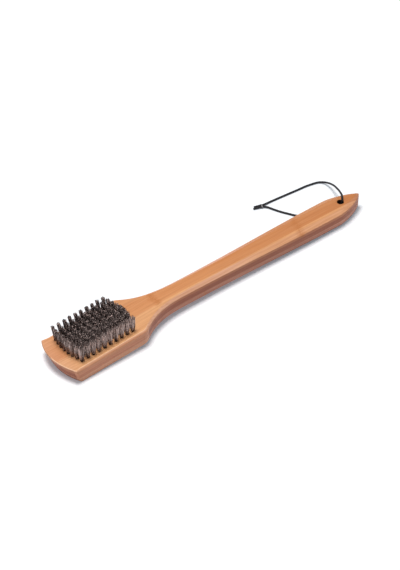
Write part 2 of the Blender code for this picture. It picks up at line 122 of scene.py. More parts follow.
table_mesh = bpy.data.meshes.new("table")
half = TABLE_SIZE / 2
corners = [(-half, -half, 0), (half, -half, 0), (half, half, 0), (-half, half, 0)]
table_mesh.from_pydata(corners, [], [(0, 1, 2, 3)])
table = bpy.data.objects.new("table", table_mesh)
bpy.context.scene.collection.objects.link(table)
paper = bpy.data.materials.new("white_paper")
add = nodes_of(paper)
paper_skin = add("BsdfDiffuse", ("Color", PAPER_COLOUR))
seen = seen_directly(add)
spot = add("NewGeometry")
from_brush = add("VectorMath", (0, spot.outputs["Position"]), operation="LENGTH")
far = add(
    "MapRange",
    ("Value", from_brush.outputs["Value"]),
    ("From Min", FAR_GLOW_START),
    ("From Max", FAR_GLOW_END),
)
glows = []
for strength, tint in ((TABLE_GLOW, TABLE_GLOW_TINT), (FAR_GLOW, FAR_GLOW_TINT)):
    glow = add("Math", (0, seen), (1, strength), operation="MULTIPLY")
    glows.append(add("Emission", ("Color", tint), ("Strength", glow.outputs[0])).outputs[0])
paper_glow = add("MixShader", (0, far.outputs[0]), (1, glows[0]), (2, glows[1]))
paper_sum = add("AddShader", (0, paper_skin.outputs[0]), (1, paper_glow.outputs[0]))
add("OutputMaterial", ("Surface", paper_sum.outputs[0]))
table_mesh.materials.append(paper)

world = bpy.data.worlds.new("white_room")
bpy.context.scene.world = world
add = nodes_of(world)
room = add("Background", ("Color", ROOM_TINT), ("Strength", ROOM_GLOW))
backdrop = add("Background", ("Color", BACKDROP_COLOUR))
sky = add("MixShader", (0, seen_directly(add)), (1, room.outputs[0]), (2, backdrop.outputs[0]))
add("OutputWorld", ("Surface", sky.outputs[0]))

lamp_data = bpy.data.lights.new("key_lamp", "AREA")
lamp_data.shape = "DISK"
lamp_data.size = LAMP_SIZE
lamp_data.energy = LAMP_POWER
lamp = bpy.data.objects.new("key_lamp", lamp_data)
lamp.location = LAMP_PLACE
lamp.rotation_euler = Vector(LAMP_PLACE).to_track_quat("Z", "Y").to_euler()
bpy.context.scene.collection.objects.link(lamp)

# The crimp is a short sleeve of soft bright metal round the two cut ends of the cord, which lie side
# by side in it. It is pressed flat onto them, which dents it and leaves it narrower in its middle.
CORD_DIAMETER = 0.0026
CRIMP_CENTRE = Vector((0.1352, 0.0716, 0.0021))
CRIMP_ANGLE = math.radians(157)
CRIMP_LENGTH = 0.0012
CRIMP_GAP = 0.0003
CRIMP_WALL = 0.0004
CRIMP_EDGE = 0.00012
CRIMP_STEPS = 10
CRIMP_CREASE = math.radians(40)
CRIMP_COLOUR = (0.22, 0.215, 0.22)
DENT_SCALE = 700.0
DENT_DETAIL = 4.0
DENT_DEPTH = 0.0001
DENT_STRENGTH = 0.5
SMOOTHEST_METAL = 0.38
ROUGHEST_METAL = 0.62


def flat_oval(half_gap, radius):
    """A circle of the radius, pulled apart sideways to take both ends of the cord."""
    points = []
    for side, start in ((1, -math.pi / 2), (-1, math.pi / 2)):
        for step in range(CRIMP_STEPS + 1):
            angle = start + math.pi * step / CRIMP_STEPS
            points.append((side * half_gap + radius * math.cos(angle), radius * math.sin(angle)))
    return points


def joined(bm, low, high):
    """New faces between two rings that have the same number of points."""
    faces = []
    for index in range(len(low)):
        after = (index + 1) % len(low)
        faces.append(bm.faces.new((low[index], low[after], high[after], high[index])))
    return faces


def piece_from(name, bm, material):
    """An object made of the mesh, which rides with the brush and takes its finish from the slot."""
    mesh = bpy.data.meshes.new(name)
    bm.normal_update()
    bm.to_mesh(mesh)
    bm.free()
    mesh.materials.append(material)
    piece = bpy.data.objects.new(name, mesh)
    bpy.context.scene.collection.objects.link(piece)
    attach(piece, "root")
    return piece


crimp_metal = bpy.data.materials.new("pressed_crimp_metal")
add = nodes_of(crimp_metal)
pressed = add("TexNoise", ("Scale", DENT_SCALE), ("Detail", DENT_DETAIL)).outputs[0]
dents = add("Bump", ("Strength", DENT_STRENGTH), ("Distance", DENT_DEPTH), ("Height", pressed))
rough = add("MapRange", ("Value", pressed), ("To Min", SMOOTHEST_METAL), ("To Max", ROUGHEST_METAL))
skin = add(
    "BsdfPrincipled",
    ("Base Color", CRIMP_COLOUR),
    ("Metallic", 1.0),
    ("Roughness", rough.outputs[0]),
    ("Normal", dents.outputs[0]),
)
add("OutputMaterial", ("Surface", skin.outputs[0]))

half_gap = (CORD_DIAMETER + CRIMP_GAP) / 2
inner = CORD_DIAMETER / 2 + CRIMP_GAP / 3
outer = CORD_DIAMETER / 2 + CRIMP_GAP + CRIMP_WALL
waist = outer - CRIMP_WALL / 4
mouth = CRIMP_LENGTH / 2
profile = [
    (outer - CRIMP_EDGE, -mouth),
    (outer, CRIMP_EDGE - mouth),
    (waist, -mouth / 3),
    (waist, mouth / 3),
    (outer, mouth - CRIMP_EDGE),
    (outer - CRIMP_EDGE, mouth),
    (inner, mouth),
    (inner, -mouth),
]
turned = Matrix.Translation(CRIMP_CENTRE) @ Matrix.Rotation(CRIMP_ANGLE, 4, "Z")
bm = bmesh.new()
ovals = []
for radius, along in profile:
    oval = flat_oval(half_gap, radius)
    ovals.append([bm.verts.new(turned @ Vector((along, y, z))) for y, z in oval])
for first, second in zip(ovals, ovals[1:] + ovals[:1]):
    joined(bm, first, second)
bmesh.ops.recalc_face_normals(bm, faces=bm.faces)
crimp = piece_from("cord_crimp", bm, crimp_metal)
crimp.data.shade_smooth()
crimp.data.set_sharp_from_angle(angle=CRIMP_CREASE)
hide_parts("crimp")

# The hanging cord is a waxed black braid that runs through the hole in the tail, comes down to the
# table past the tail's far side, and passes back under the tail. Its two cut ends stick out of the
# crimp.
CORD_STEP = 0.0006
CORD_SIDES = 14
BRAID_PITCH = 0.0042
BRAID_PLAITS = 4
BRAID_RELIEF = 0.035
BRAID_SHADE_START = -0.4
BRAID_BUMP = 0.00012
BRAID_BUMP_STRENGTH = 0.7
LINT_SCALE = 900.0
LINT_DETAIL = 3.0
LINT_BUMP_SHARE = 0.35
CORD_COLOUR = (0.007, 0.006, 0.007)
CORD_SHEEN_COLOUR = (0.030, 0.028, 0.030)
CORD_ROUGHNESS = 0.6
CORD_SHINE = 0.18
CRIMP_RUN = 0.0018
UPPER_ROUTE = (
    (0.2018, 0.0000, 0.0133),
    (0.2018, 0.0000, 0.0170),
    (0.2018, 0.0000, 0.0206),
    (0.2021, 0.0001, 0.0240),
    (0.2032, 0.0012, 0.0266),
    (0.2050, 0.0040, 0.0279),
    (0.2081, 0.0108, 0.0270),
    (0.2128, 0.0205, 0.0230),
    (0.2184, 0.0321, 0.0170),
    (0.2232, 0.0441, 0.0100),
    (0.2249, 0.0532, 0.0050),
    (0.2239, 0.0590, 0.0024),
    (0.2194, 0.0633, 0.0015),
    (0.2110, 0.0657, 0.00135),
    (0.2018, 0.0673, 0.00135),
    (0.1923, 0.0680, 0.00135),
    (0.1830, 0.0689, 0.00135),
    (0.1736, 0.0698, 0.00135),
    (0.1605, 0.0710, 0.00135),
    (0.1506, 0.0718, 0.0014),
    (0.1440, 0.0720, 0.0017),
)
UPPER_END = (0.1272, 0.0764, 0.0014)
LOWER_ROUTE = (
    (0.2018, 0.0000, 0.0130),
    (0.2018, 0.0000, 0.0098),
    (0.2018, 0.0001, 0.0068),
    (0.2018, 0.0007, 0.0045),
    (0.2018, 0.0022, 0.0027),
    (0.2018, 0.0043, 0.0016),
    (0.2018, 0.0072, 0.0014),
    (0.2016, 0.0112, 0.00135),
    (0.2002, 0.0168, 0.00135),
    (0.1966, 0.0222, 0.00135),
    (0.1910, 0.0258, 0.00135),
    (0.1836, 0.0273, 0.00135),
    (0.1750, 0.0274, 0.00135),
    (0.1665, 0.0278, 0.00135),
    (0.1604, 0.0299, 0.00135),
    (0.1564, 0.0343, 0.00135),
    (0.1524, 0.0410, 0.00135),
    (0.1478, 0.0490, 0.00135),
    (0.1445, 0.0560, 0.00135),
    (0.1417, 0.0625, 0.0015),
    (0.1396, 0.0665, 0.00175),
)
LOWER_END = (0.1246, 0.0743, 0.0014)


def crimp_run(side):
    """The straight run of one end of the cord through the crimp."""
    along = Vector((math.cos(CRIMP_ANGLE), math.sin(CRIMP_ANGLE), 0))
    across = Vector((along.y, -along.x, 0)) * side
    middle = CRIMP_CENTRE + across * (CORD_DIAMETER + CRIMP_GAP) / 2
    return [middle - along * CRIMP_RUN, middle, middle + along * CRIMP_RUN]


def smooth_route(route, step):
    """Points about a step apart on the smooth curve through the route's points."""
    points = [Vector(place) for place in route]
    padded = [points[0] * 2 - points[1]] + points + [points[-1] * 2 - points[-2]]
    made = []
    for index in range(1, len(padded) - 2):
        before, start, end, after = padded[index - 1:index + 3]
        count = max(2, round((end - start).length / step))
        for sample in range(count):
            t = sample / count
            slope = (end - before) * t
            turn = (before * 2 - start * 5 + end * 4 - after) * t**2
            twist = (start * 3 - before - end * 3 + after) * t**3
            made.append(start + (slope + turn + twist) / 2)
    made.append(points[-1])
    return made


def closed_tube(bm, rings):
    """A tube through the rings with both ends closed. It gives back the side faces, ring by ring."""
    sides = []
    for low, high in zip(rings[:-1], rings[1:]):
        sides += joined(bm, low, high)
    bm.faces.new(list(reversed(rings[0])))
    bm.faces.new(rings[-1])
    return sides


def braided_tube(points, radius):
    """A tube along the points. Its UV map runs round the cord and along it, in turns of the braid."""
    bm = bmesh.new()
    uv = bm.loops.layers.uv.new("braid")
    travelled = [0.0]
    for before, after in zip(points[:-1], points[1:]):
        travelled.append(travelled[-1] + (after - before).length)
    normal = Vector((0, 1, 0))
    rings = []
    for index, point in enumerate(points):
        ahead = points[min(index + 1, len(points) - 1)]
        behind = points[max(index - 1, 0)]
        along = (ahead - behind).normalized()
        normal = (normal - along * normal.dot(along)).normalized()
        side = along.cross(normal)
        ring = []
        for step in range(CORD_SIDES):
            angle = 2 * math.pi * step / CORD_SIDES
            wave = math.cos(BRAID_PLAITS * angle - 2 * math.pi * travelled[index] / BRAID_PITCH)
            reach = radius * (1 - BRAID_RELIEF * (1 - wave))
            outward = normal * math.cos(angle) + side * math.sin(angle)
            ring.append(bm.verts.new(point + outward * reach))
        rings.append(ring)
    for number, face in enumerate(closed_tube(bm, rings)):
        index, step = divmod(number, CORD_SIDES)
        start, end = travelled[index:index + 2]
        places = ((step, start), (step + 1, start), (step + 1, end), (step, end))
        face.smooth = True
        for loop, (turn, distance) in zip(face.loops, places):
            loop[uv].uv = (turn / CORD_SIDES, distance / BRAID_PITCH)
    return bm, travelled[-1]


def mixed(add, share, first, second):
    """The first colour, with a share of the second over it."""
    mix = add("Mix", ("Factor", share), ("A", first), ("B", second), data_type="RGBA")
    return mix.outputs["Result"]


cord_black = bpy.data.materials.new("waxed_black_braid")
add = nodes_of(cord_black)
braid = add("UVMap", uv_map="braid")
place = add("SeparateXYZ", (0, braid.outputs[0]))
full_turn = 2 * math.pi
round_cord = add("Math", (0, place.outputs["X"]), (1, full_turn * BRAID_PLAITS), operation="MULTIPLY")
along_cord = add("Math", (0, place.outputs["Y"]), (1, full_turn), operation="MULTIPLY")
lays = []
for operation in ("ADD", "SUBTRACT"):
    lay = add("Math", (0, round_cord.outputs[0]), (1, along_cord.outputs[0]), operation=operation)
    lays.append(add("Math", (0, lay.outputs[0]), operation="SINE").outputs[0])
plait = add("Math", (0, lays[0]), (1, lays[1]), operation="MAXIMUM").outputs[0]
# The crests of the plait are painted lighter, as a sheen, and the grooves darker, as shade.
shade = add("MapRange", ("Value", plait), ("From Min", BRAID_SHADE_START))
lint = add("TexNoise", ("Scale", LINT_SCALE), ("Detail", LINT_DETAIL))
height = add("Math", (0, lint.outputs[0]), (1, LINT_BUMP_SHARE), (2, plait), operation="MULTIPLY_ADD")
relief = add(
    "Bump",
    ("Strength", BRAID_BUMP_STRENGTH),
    ("Distance", BRAID_BUMP),
    ("Height", height.outputs[0]),
)
skin = add(
    "BsdfPrincipled",
    ("Base Color", mixed(add, shade.outputs[0], CORD_COLOUR, CORD_SHEEN_COLOUR)),
    ("Roughness", CORD_ROUGHNESS),
    ("Specular IOR Level", CORD_SHINE),
    ("Normal", relief.outputs[0]),
)
add("OutputMaterial", ("Surface", skin.outputs[0]))

for name, route, side, end, node, extras in (
    ("cord_over_the_tail", UPPER_ROUTE, 1, UPPER_END, "cord_upper_strand", [crimp]),
    ("cord_under_the_tail", LOWER_ROUTE, -1, LOWER_END, "cord_lower_strand", []),
):
    line = smooth_route([*route, *crimp_run(side), end], CORD_STEP)
    bm, cord_length = braided_tube(line, CORD_DIAMETER / 2)
    cord = piece_from(name, bm, cord_black)
    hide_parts(node)

# The board is three plies of bamboo strips, glued face to face, sawn to shape and sanded. It is
# bent a little at the neck. Its front leans out over the table, a little askew, its shoulders are
# hollow, and the handle widens to a rounded tail.
LENGTH = 0.457
THICKNESS = 0.020
PLY_SEAM = 0.00003
NECK_RISE = 0.0062
TAIL_LIFT = 0.0029
BEND_FROM_SHOULDER = 0.0437
BEND_POWER = 1.2
HEAD_WIDTH = 0.0650
HEAD_LENGTH = 0.1098
FRONT_BULGE = 0.0094
FRONT_UNDERCUT = 0.0083
FRONT_CORNER_RADIUS = 0.0020
FRONT_STEPS = 24
CORNER_STEPS = 8
SIDE_STEPS = 12
TOP_SLANT = 0.0047
BACK_SLANT = 0.0014
SLANT_POWER = 1.5
REST_MARGIN = 0.0015
SHOULDER_CORNER_RADIUS = 0.014
SHOULDER_LENGTH = 0.077
SHOULDER_HOLLOW = 3.1
SHOULDER_STEPS = 40
SHOULDER_STEPS_ROUNDED_OFF = 4
NECK_WIDTH = 0.0258
GRIP_WIDTH = 0.0329
GRIP_SWELL = 1.1
GRIP_STRAIGHT_LENGTH = 0.0135
GRIP_STEPS = 48
TAIL_ROUND_LENGTH = 0.0429
TAIL_TIP_RADIUS = 0.0032
TAIL_POINT = 1.4
TAIL_STEPS = 40
TIP_BLUNT = 0.0009
TIP_REACH_SHARE = 0.7
BOARD_CREASE = math.radians(28)

FRONT_X = -LENGTH / 2
TAIL_X = LENGTH / 2
REST_X = FRONT_X + FRONT_UNDERCUT + FRONT_BULGE + REST_MARGIN
SHOULDER_X = FRONT_X + HEAD_LENGTH
BEND_X = SHOULDER_X + BEND_FROM_SHOULDER
NECK_X = SHOULDER_X + SHOULDER_LENGTH
TAIL_ROUND_X = TAIL_X - TAIL_ROUND_LENGTH
GRIP_FULL_X = TAIL_ROUND_X - GRIP_STRAIGHT_LENGTH
LOW_SEAM = THICKNESS / 3
HIGH_SEAM = THICKNESS * 2 / 3


def handle_slope(x):
    """The straight slope of the handle's back, from the neck down to the tail on its cord."""
    return TAIL_LIFT + (NECK_RISE - TAIL_LIFT) * (TAIL_X - x) / (TAIL_X - BEND_X)


def back_height(x):
    """How high the board's back lies at x. It rests on the front end of the head, up to REST_X."""
    if x < SHOULDER_X:
        return back_height(SHOULDER_X) * max(x - REST_X, 0) / (SHOULDER_X - REST_X)
    bend = (max(BEND_X - x, 0) / (BEND_X - REST_X)) ** BEND_POWER
    return handle_slope(x) - handle_slope(REST_X) * bend


def share_along(x, start, length):
    """How far x has come along a stretch of the board, from 0 to 1."""
    return min(max((x - start) / length, 0), 1)


def slant_at(place):
    """How far back the front was sawn at a place on it, most at its near corner."""
    nearness = max(0.5 - place.y / HEAD_WIDTH, 0) ** SLANT_POWER
    ahead = 1 - share_along(place.x, FRONT_X, REST_X - FRONT_X)
    return (BACK_SLANT + (TOP_SLANT - BACK_SLANT) * place.z / THICKNESS) * nearness * ahead


def rounded_corner(before, corner, after, radius):
    """Points on the arc that rounds a corner off, from its first side to its second."""
    to_before = (before - corner).normalized()
    to_after = (after - corner).normalized()
    half_angle = to_before.angle(to_after) / 2
    centre = corner + (to_before + to_after).normalized() * (radius / math.sin(half_angle))
    reach = radius / math.tan(half_angle)
    start = corner + to_before * reach - centre
    sweep = start.angle_signed(corner + to_after * reach - centre)
    points = []
    for step in range(CORNER_STEPS + 1):
        point = start.copy()
        point.rotate(Matrix.Rotation(-sweep * step / CORNER_STEPS, 2))
        points.append(centre + point)
    return points


def board_outline(z):
    """The board's outline at height z. Point i and point -i lie at the same x."""
    half = HEAD_WIDTH / 2
    front_x = FRONT_X + FRONT_UNDERCUT * (1 - z / THICKNESS)
    bulge_radius = (half * half + FRONT_BULGE * FRONT_BULGE) / (2 * FRONT_BULGE)
    bulge_angle = math.asin(half / bulge_radius)
    front = []
    for step in range(FRONT_STEPS + 1):
        angle = bulge_angle * step / FRONT_STEPS
        x = front_x + bulge_radius * (1 - math.cos(angle))
        front.append(Vector((x, bulge_radius * math.sin(angle))))
    drop = (HEAD_WIDTH - NECK_WIDTH) / 2
    shoulder = []
    for step in range(SHOULDER_STEPS + 1):
        left = 1 - step / SHOULDER_STEPS
        y = NECK_WIDTH / 2 + drop * left**SHOULDER_HOLLOW
        shoulder.append(Vector((NECK_X - SHOULDER_LENGTH * left, y)))
    grip = []
    for step in range(1, GRIP_STEPS + 1):
        along = step / GRIP_STEPS
        late = along**GRIP_SWELL
        eased = late * late * (3 - 2 * late)
        y = (NECK_WIDTH + (GRIP_WIDTH - NECK_WIDTH) * eased) / 2
        grip.append(Vector((NECK_X + (GRIP_FULL_X - NECK_X) * along, y)))
    tail = []
    for step in range(TAIL_STEPS + 1):
        angle = math.pi / 2 * step / TAIL_STEPS
        x = TAIL_ROUND_X + TAIL_ROUND_LENGTH * math.sin(angle) ** TAIL_POINT
        y = GRIP_WIDTH / 2 * max(math.cos(angle), 0) ** TAIL_POINT
        past_tip_centre = x - TAIL_X + TAIL_TIP_RADIUS
        if past_tip_centre > 0:
            y = max(y, math.sqrt(max(TAIL_TIP_RADIUS**2 - past_tip_centre**2, 0)))
        tail.append(Vector((x, y)))
    tail[-1].y = 0
    front_corner = rounded_corner(front[-2], front[-1], shoulder[0], FRONT_CORNER_RADIUS)
    shoulder_corner = rounded_corner(front[-1], shoulder[0], shoulder[1], SHOULDER_CORNER_RADIUS)
    head_side = []
    for step in range(1, SIDE_STEPS):
        head_side.append(front_corner[-1].lerp(shoulder_corner[0], step / SIDE_STEPS))
    side = front[:-2] + front_corner + head_side + shoulder_corner
    side += shoulder[SHOULDER_STEPS_ROUNDED_OFF:] + grip + tail
    return side + [Vector((point.x, -point.y)) for point in reversed(side[1:-1])]


def drawn_in(outline, width_at):
    """The outline moved inwards by the width that belongs to each x, with its tip kept blunt."""
    tip = len(outline) // 2
    moved = []
    for index in range(tip + 1):
        point = outline[index]
        ahead = outline[index + 1] - point
        behind = point - outline[index - 1]
        along = (ahead.normalized() + behind.normalized()).normalized()
        moved.append(point + Vector((along.y, -along.x)) * width_at(point.x))
    turn = next(index for index in range(tip // 2, tip + 1) if moved[index].y < TIP_BLUNT)
    start = moved[turn - 1].copy()
    for index in range(turn, tip + 1):
        angle = math.pi / 2 * (index - turn + 1) / (tip - turn + 1)
        x = start.x + start.y * TIP_REACH_SHARE * math.sin(angle)
        moved[index] = Vector((x, start.y * math.cos(angle)))
    moved[tip].y = 0
    return moved + [Vector((point.x, -point.y)) for point in reversed(moved[1:-1])]


def flat_at(z):
    """A height that is the same all along the board."""
    return lambda x: z


def ply_mesh(rings):
    """A ply through rings of outline, height and highlight share, each joined to the next and both ends
    closed.
    """
    bm = bmesh.new()
    arris_light_layer = bm.verts.layers.float.new("arris_light")
    made = []
    for outline, height, arris_light in rings:
        ring = [bm.verts.new((point.x, point.y, height(point.x))) for point in outline]
        for vert in ring:
            vert[arris_light_layer] = arris_light
        made.append(ring)
    for low, high in zip(made[:-1], made[1:]):
        joined(bm, low, high)
    for ring in (made[0], made[-1]):
        for index in range(len(ring) // 2):
            corners = [ring[index], ring[index + 1], ring[-index - 1], ring[-index]]
            bm.faces.new(list(dict.fromkeys(corners)))
    bmesh.ops.recalc_face_normals(bm, faces=bm.faces)
    return bm


def sawn_and_bent(name, bm, cutters, material, node):
    """Bores a ply, keeps each point's place on the flat board with it, slants its front and bends it."""
    piece = piece_from(name, bm, material)
    tools = []
    for number, cutter_bm in enumerate(cutters):
        cutter_mesh = bpy.data.meshes.new(f"{name}_bore_{number}")
        cutter_bm.to_mesh(cutter_mesh)
        cutter_bm.free()
        tool = bpy.data.objects.new(cutter_mesh.name, cutter_mesh)
        bpy.context.scene.collection.objects.link(tool)
        tools.append(tool)
        bore = piece.modifiers.new("bore", "BOOLEAN")
        bore.operation = "DIFFERENCE"
        bore.solver = "EXACT"
        bore.object = tool
    evaluated = piece.evaluated_get(bpy.context.evaluated_depsgraph_get())
    bored = bpy.data.meshes.new_from_object(evaluated)
    piece.modifiers.clear()
    for tool in tools:
        bpy.data.objects.remove(tool, do_unlink=True)
    bored.name = name
    piece.data = bored
    flat = bored.attributes.new("board", "FLOAT_VECTOR", "POINT")
    for vert in bored.vertices:
        flat.data[vert.index].vector = vert.co
        vert.co.x += slant_at(vert.co)
        vert.co.z += back_height(vert.co.x)
    bored.shade_smooth()
    bored.set_sharp_from_angle(angle=BOARD_CREASE)
    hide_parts(node)


# The hanging hole is bored straight through all three plies near the tail. Its mouths are eased, so
# that their edges spare the cord.
HOLE_FROM_TAIL = 0.0291
HOLE_X = TAIL_X - HOLE_FROM_TAIL
HOLE_RADIUS = 0.004
HOLE_EASE = 0.001
EASE_KNEE_DEPTH = 0.3
EASE_KNEE_WIDTH = 0.4
HOLE_SIDES = 48
OVERRUN = 0.003


def turned_cutter(levels, places, sides):
    """Closed round solids, one at each place, through levels of height and radius."""
    bm = bmesh.new()
    for x, y in places:
        rings = []
        for z, radius in levels:
            ring = []
            for side in range(sides):
                angle = 2 * math.pi * (side + 0.5) / sides
                outward = Vector((math.cos(angle), math.sin(angle), 0))
                ring.append(bm.verts.new(Vector((x, y, z)) + outward * radius))
            rings.append(ring)
        closed_tube(bm, rings)
    return bm


def hanging_hole():
    """The cutter for the hole: a bore that widens softly at both mouths."""
    wide = HOLE_RADIUS + HOLE_EASE
    knee = HOLE_RADIUS + HOLE_EASE * EASE_KNEE_WIDTH
    levels = [
        (-OVERRUN, wide + OVERRUN),
        (0, wide),
        (HOLE_EASE * EASE_KNEE_DEPTH, knee),
        (HOLE_EASE, HOLE_RADIUS),
        (THICKNESS - HOLE_EASE, HOLE_RADIUS),
        (THICKNESS - HOLE_EASE * EASE_KNEE_DEPTH, knee),
        (THICKNESS, wide),
        (THICKNESS + OVERRUN, wide + OVERRUN),
    ]
    return turned_cutter(levels, [(HOLE_X, 0)], HOLE_SIDES)


# Each ply is glued up from strips of split bamboo. Its fibres run along the brush, each strip has its
# own tone, and the knuckles of the cane cross a strip as darker marks. The head's top arrises carry a
# painted highlight, the bevels a painted sheen, and the grip's side is painted darker along its middle
# as shade.
STRIP_COUNT = 4
STRIP_WIDTH = 0.022
STRIP_EDGE = -0.007
STRIP_WANDER = 0.0006
WANDERING = (3.0, 20.0, 1.0, (0.0, 1.0))
BROAD_STREAKS = (5.0, 90.0, 3.0, (0.3, 0.7))
FINE_STREAKS = (14.0, 520.0, 4.0, (0.35, 0.7))
HAIR_STREAKS = (40.0, 1900.0, 3.0, (0.45, 0.75))
STREAK_ROUGHNESS = 0.6
BROAD_SHARE = 0.35
FINE_SHARE = 0.45
HAIR_SHARE = 0.30
HEAD_END = (SHOULDER_X - 0.002, SHOULDER_X + 0.010)
# The bevels and the front end take a painted sheen of pale pink, within these spans.
FRONT_END = (FRONT_X + 0.006, FRONT_X + 0.024)
BEVEL_TOP = (THICKNESS - 0.0006, THICKNESS - 0.0001)
FAR_BEVEL_SHEEN_END = (0.02, 0.10)
FAR_BEVEL_SHEEN = 2.5
# Where the sides' darker tones begin: partly the sawn wood's colour, partly painted shade.
HEAD_SIDE_TOP = (THICKNESS - 0.0018, THICKNESS - 0.0008)
HANDLE_SIDE_TOP = (THICKNESS - 0.0037, THICKNESS - 0.0031)
BEVEL_SHEEN = (0.86, 0.54, 0.48)
BEVEL_SHEEN_SHARE = 0.17
# A painted highlight along the top arrises of the head.
ARRIS_TOP = (THICKNESS - 0.0012, THICKNESS - 0.0005)
ARRIS_HIGHLIGHT = (0.95, 0.60, 0.37)
ARRIS_HIGHLIGHT_SHARE = 0.85
# The eased front edge: a painted highlight on its near half, painted shade on its far half.
EASE_BOTTOM = (THICKNESS - 0.0007, THICKNESS - 0.0004)
EASE_TOP = (THICKNESS - 0.0001, THICKNESS)
EASE_BACK = (FRONT_X + 0.009, FRONT_X + 0.011)
EASE_NEAR_HALF = (0.0, 0.005)
SHADED_EASE = (0.20, 0.10, 0.05)
SHADED_EASE_SHARE = 0.6
EASE_HIGHLIGHT_SHARE = 0.9
# Painted shade on the grip's side, along its middle.
GRIP_SHADE = (0.20, 0.06, 0.03)
GRIP_SHADE_SHARE = 0.2
GRIP_SHADE_START = (-0.05, 0.02)
GRIP_SHADE_END = (0.12, 0.18)
# Painted shade along the foot of the back ply, toward the tail.
FOOT_SHADE_TOP = (0.0010, 0.0022)
FOOT_SHADE_START = (0.06, 0.11)
KNUCKLE = (0.46, 0.15, 0.035)
KNUCKLE_WAVE = 0.0010
KNUCKLE_WAVE_TURN = 420.0
KNUCKLE_FRAYING = 0.006
FRAYED = (160.0, 700.0, 3.0, (0.2, 0.8))
SPECKLED = (420.0, 900.0, 2.0, (0.35, 0.65))
SPECKLE_SHARE = 0.50
KNUCKLE_SHARE = 0.26
# Painted shade: the wall of the hanging hole is nearly black.
HOLE_WALL_SHADE = (0.045, 0.016, 0.010)
HOLE_SHADE_EDGE = (HOLE_RADIUS + 0.0001, HOLE_RADIUS + 0.0004)
FINE_RIDGE = 0.6
HAIR_RIDGE = 0.4
RIDGE_DEPTH = 0.00008
RIDGE_STRENGTH = 0.35
SMOOTHEST_BAMBOO = 0.42
ROUGHEST_BAMBOO = 0.56
BAMBOO_SHINE = 0.3


def colour_ramp(add, value, stops, interpolation="LINEAR"):
    """The colour that belongs to the value, between stops of place and colour in rising order."""
    ramp = add("ValToRGB", (0, value))
    ramp.color_ramp.interpolation = interpolation
    for index, (place, colour) in enumerate(stops):
        elements = ramp.color_ramp.elements
        stop = elements[index] if index < 2 else elements.new(place)
        stop.position = place
        stop.color = (*colour, 1)
    return ramp.outputs[0]


